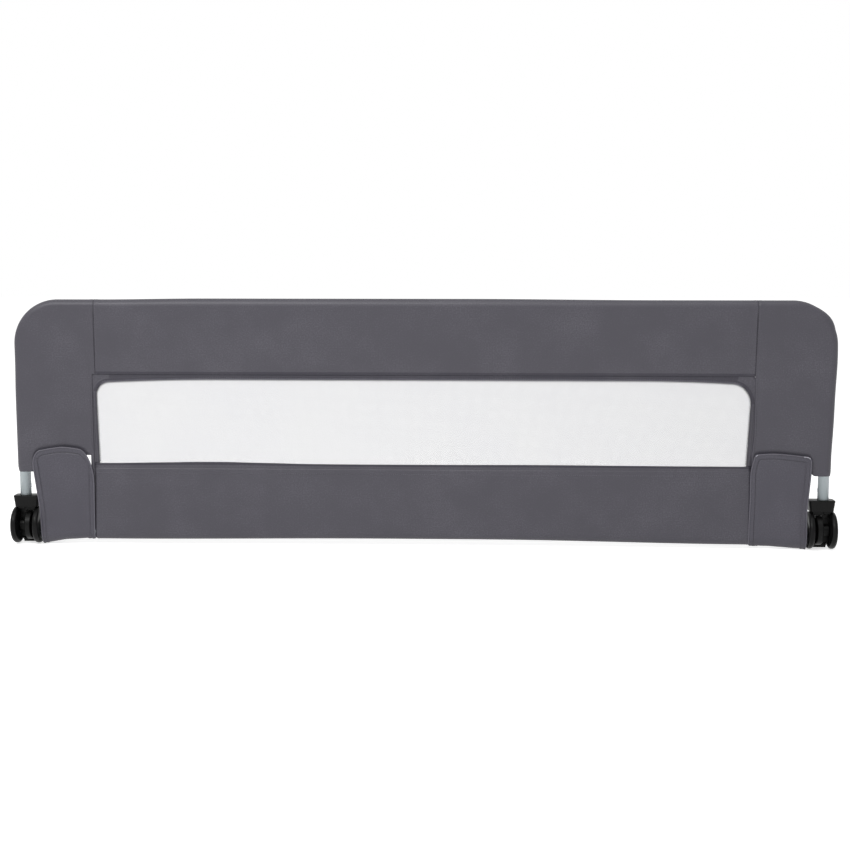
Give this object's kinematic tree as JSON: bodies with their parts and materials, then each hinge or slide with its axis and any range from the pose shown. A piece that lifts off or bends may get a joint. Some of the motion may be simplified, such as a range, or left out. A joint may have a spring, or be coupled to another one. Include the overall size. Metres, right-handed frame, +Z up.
{
  "type": "folding bed guard rail",
  "caption": "Folding bed guard rail: a cloth cover with a mesh window on a steel tube frame that folds on locking hinges over legs held under the mattress.",
  "frame": {"origin": "Under the middle of the whole part, on the plane that the legs and grips rest on.", "axes": "+Z up, +X along the rail, -Y the outer side that faces the room and +Y the side of the mattress and legs."},
  "size_m": [1.5, 0.414, 0.45],
  "materials": {
    "charcoal_cloth": "charcoal-grey woven polyester, matt",
    "dark_binding": "dark grey binding tape with zigzag stitches",
    "pale_mesh": "pale fine polyester mesh",
    "hook_tape": "dark hook-and-loop tape",
    "grey_painted_tube": "silver-grey powder-coated steel tube",
    "black_plastic": "black moulded nylon, satin",
    "black_rubber": "black anti-slip rubber",
    "zinc_steel": "bright zinc-plated steel",
    "spring_steel": "spring steel"
  },
  "bodies": {
    "base": {"left_hinge_knuckle": "black_plastic", "right_hinge_knuckle": "black_plastic", "left_leg_tube": "grey_painted_tube", "right_leg_tube": "grey_painted_tube", "left_leg_outer_grip": "black_rubber", "right_leg_outer_grip": "black_rubber", "left_leg_inner_grip": "black_rubber", "right_leg_inner_grip": "black_rubber", "left_leg_end_cap": "black_plastic", "right_leg_end_cap": "black_plastic"},
    "rail": {"left_corner_tube": "grey_painted_tube", "right_corner_tube": "grey_painted_tube", "left_top_tube": "grey_painted_tube", "right_top_tube": "grey_painted_tube", "left_snap_button": "spring_steel", "right_snap_button": "spring_steel", "top_tube_ferrule": "zinc_steel", "left_crossbar": "grey_painted_tube", "right_crossbar": "grey_painted_tube", "crossbar_ferrule": "zinc_steel", "left_fork_outer": "black_plastic", "right_fork_outer": "black_plastic", "left_fork_inner": "black_plastic", "right_fork_inner": "black_plastic", "left_axle_bolt": "zinc_steel", "right_axle_bolt": "zinc_steel", "left_axle_insert": "zinc_steel", "right_axle_insert": "zinc_steel", "left_axle_cap": "black_plastic", "right_axle_cap": "black_plastic", "left_fork_screw_front": "zinc_steel", "right_fork_screw_front": "zinc_steel", "left_fork_screw_rear": "zinc_steel", "right_fork_screw_rear": "zinc_steel", "left_tube_rivet": "zinc_steel", "right_tube_rivet": "zinc_steel", "left_lock_spring": "spring_steel", "right_lock_spring": "spring_steel", "cover_top_panel": "charcoal_cloth", "cover_lower_panel": "charcoal_cloth", "left_cover_side_panel": "charcoal_cloth", "right_cover_side_panel": "charcoal_cloth", "window_mesh": "pale_mesh", "window_binding_front": "dark_binding", "window_binding_rear": "dark_binding", "left_flap_loop_strip": "hook_tape", "right_flap_loop_strip": "hook_tape"},
    "left_collar": {"left_release_collar": "black_plastic", "left_collar_pin": "zinc_steel", "left_lock_plunger": "zinc_steel"},
    "left_flap": {"left_corner_flap": "charcoal_cloth", "left_flap_hook_strip": "hook_tape"},
    "right_collar": {"right_release_collar": "black_plastic", "right_collar_pin": "zinc_steel", "right_lock_plunger": "zinc_steel"},
    "right_flap": {"right_corner_flap": "charcoal_cloth", "right_flap_hook_strip": "hook_tape"}
  },
  "joints": [
    {"name": "rail_fold", "type": "hinge", "parent": "base", "child": "rail", "pos_m": [0, -0.173, 0.035], "axis": [1, 0, 0], "range_deg": [-90, 180]},
    {"name": "left_collar_lift", "type": "slide", "parent": "rail", "child": "left_collar", "axis": [0, 0, 1], "range_m": [0, 0.012], "stiffness_N_per_m": 600, "springref_m": -0.005, "deforming": ["left_lock_spring"]},
    {"name": "right_collar_lift", "type": "slide", "parent": "rail", "child": "right_collar", "axis": [0, 0, 1], "range_m": [0, 0.012], "stiffness_N_per_m": 600, "springref_m": -0.005, "deforming": ["right_lock_spring"]},
    {"name": "left_flap_open", "type": "hinge", "parent": "rail", "child": "left_flap", "pos_m": [0, -0.173, 0.024], "axis": [1, 0, 0], "range_deg": [0, 100]},
    {"name": "right_flap_open", "type": "hinge", "parent": "rail", "child": "right_flap", "pos_m": [0, -0.173, 0.024], "axis": [1, 0, 0], "range_deg": [0, 100]}
  ]
}
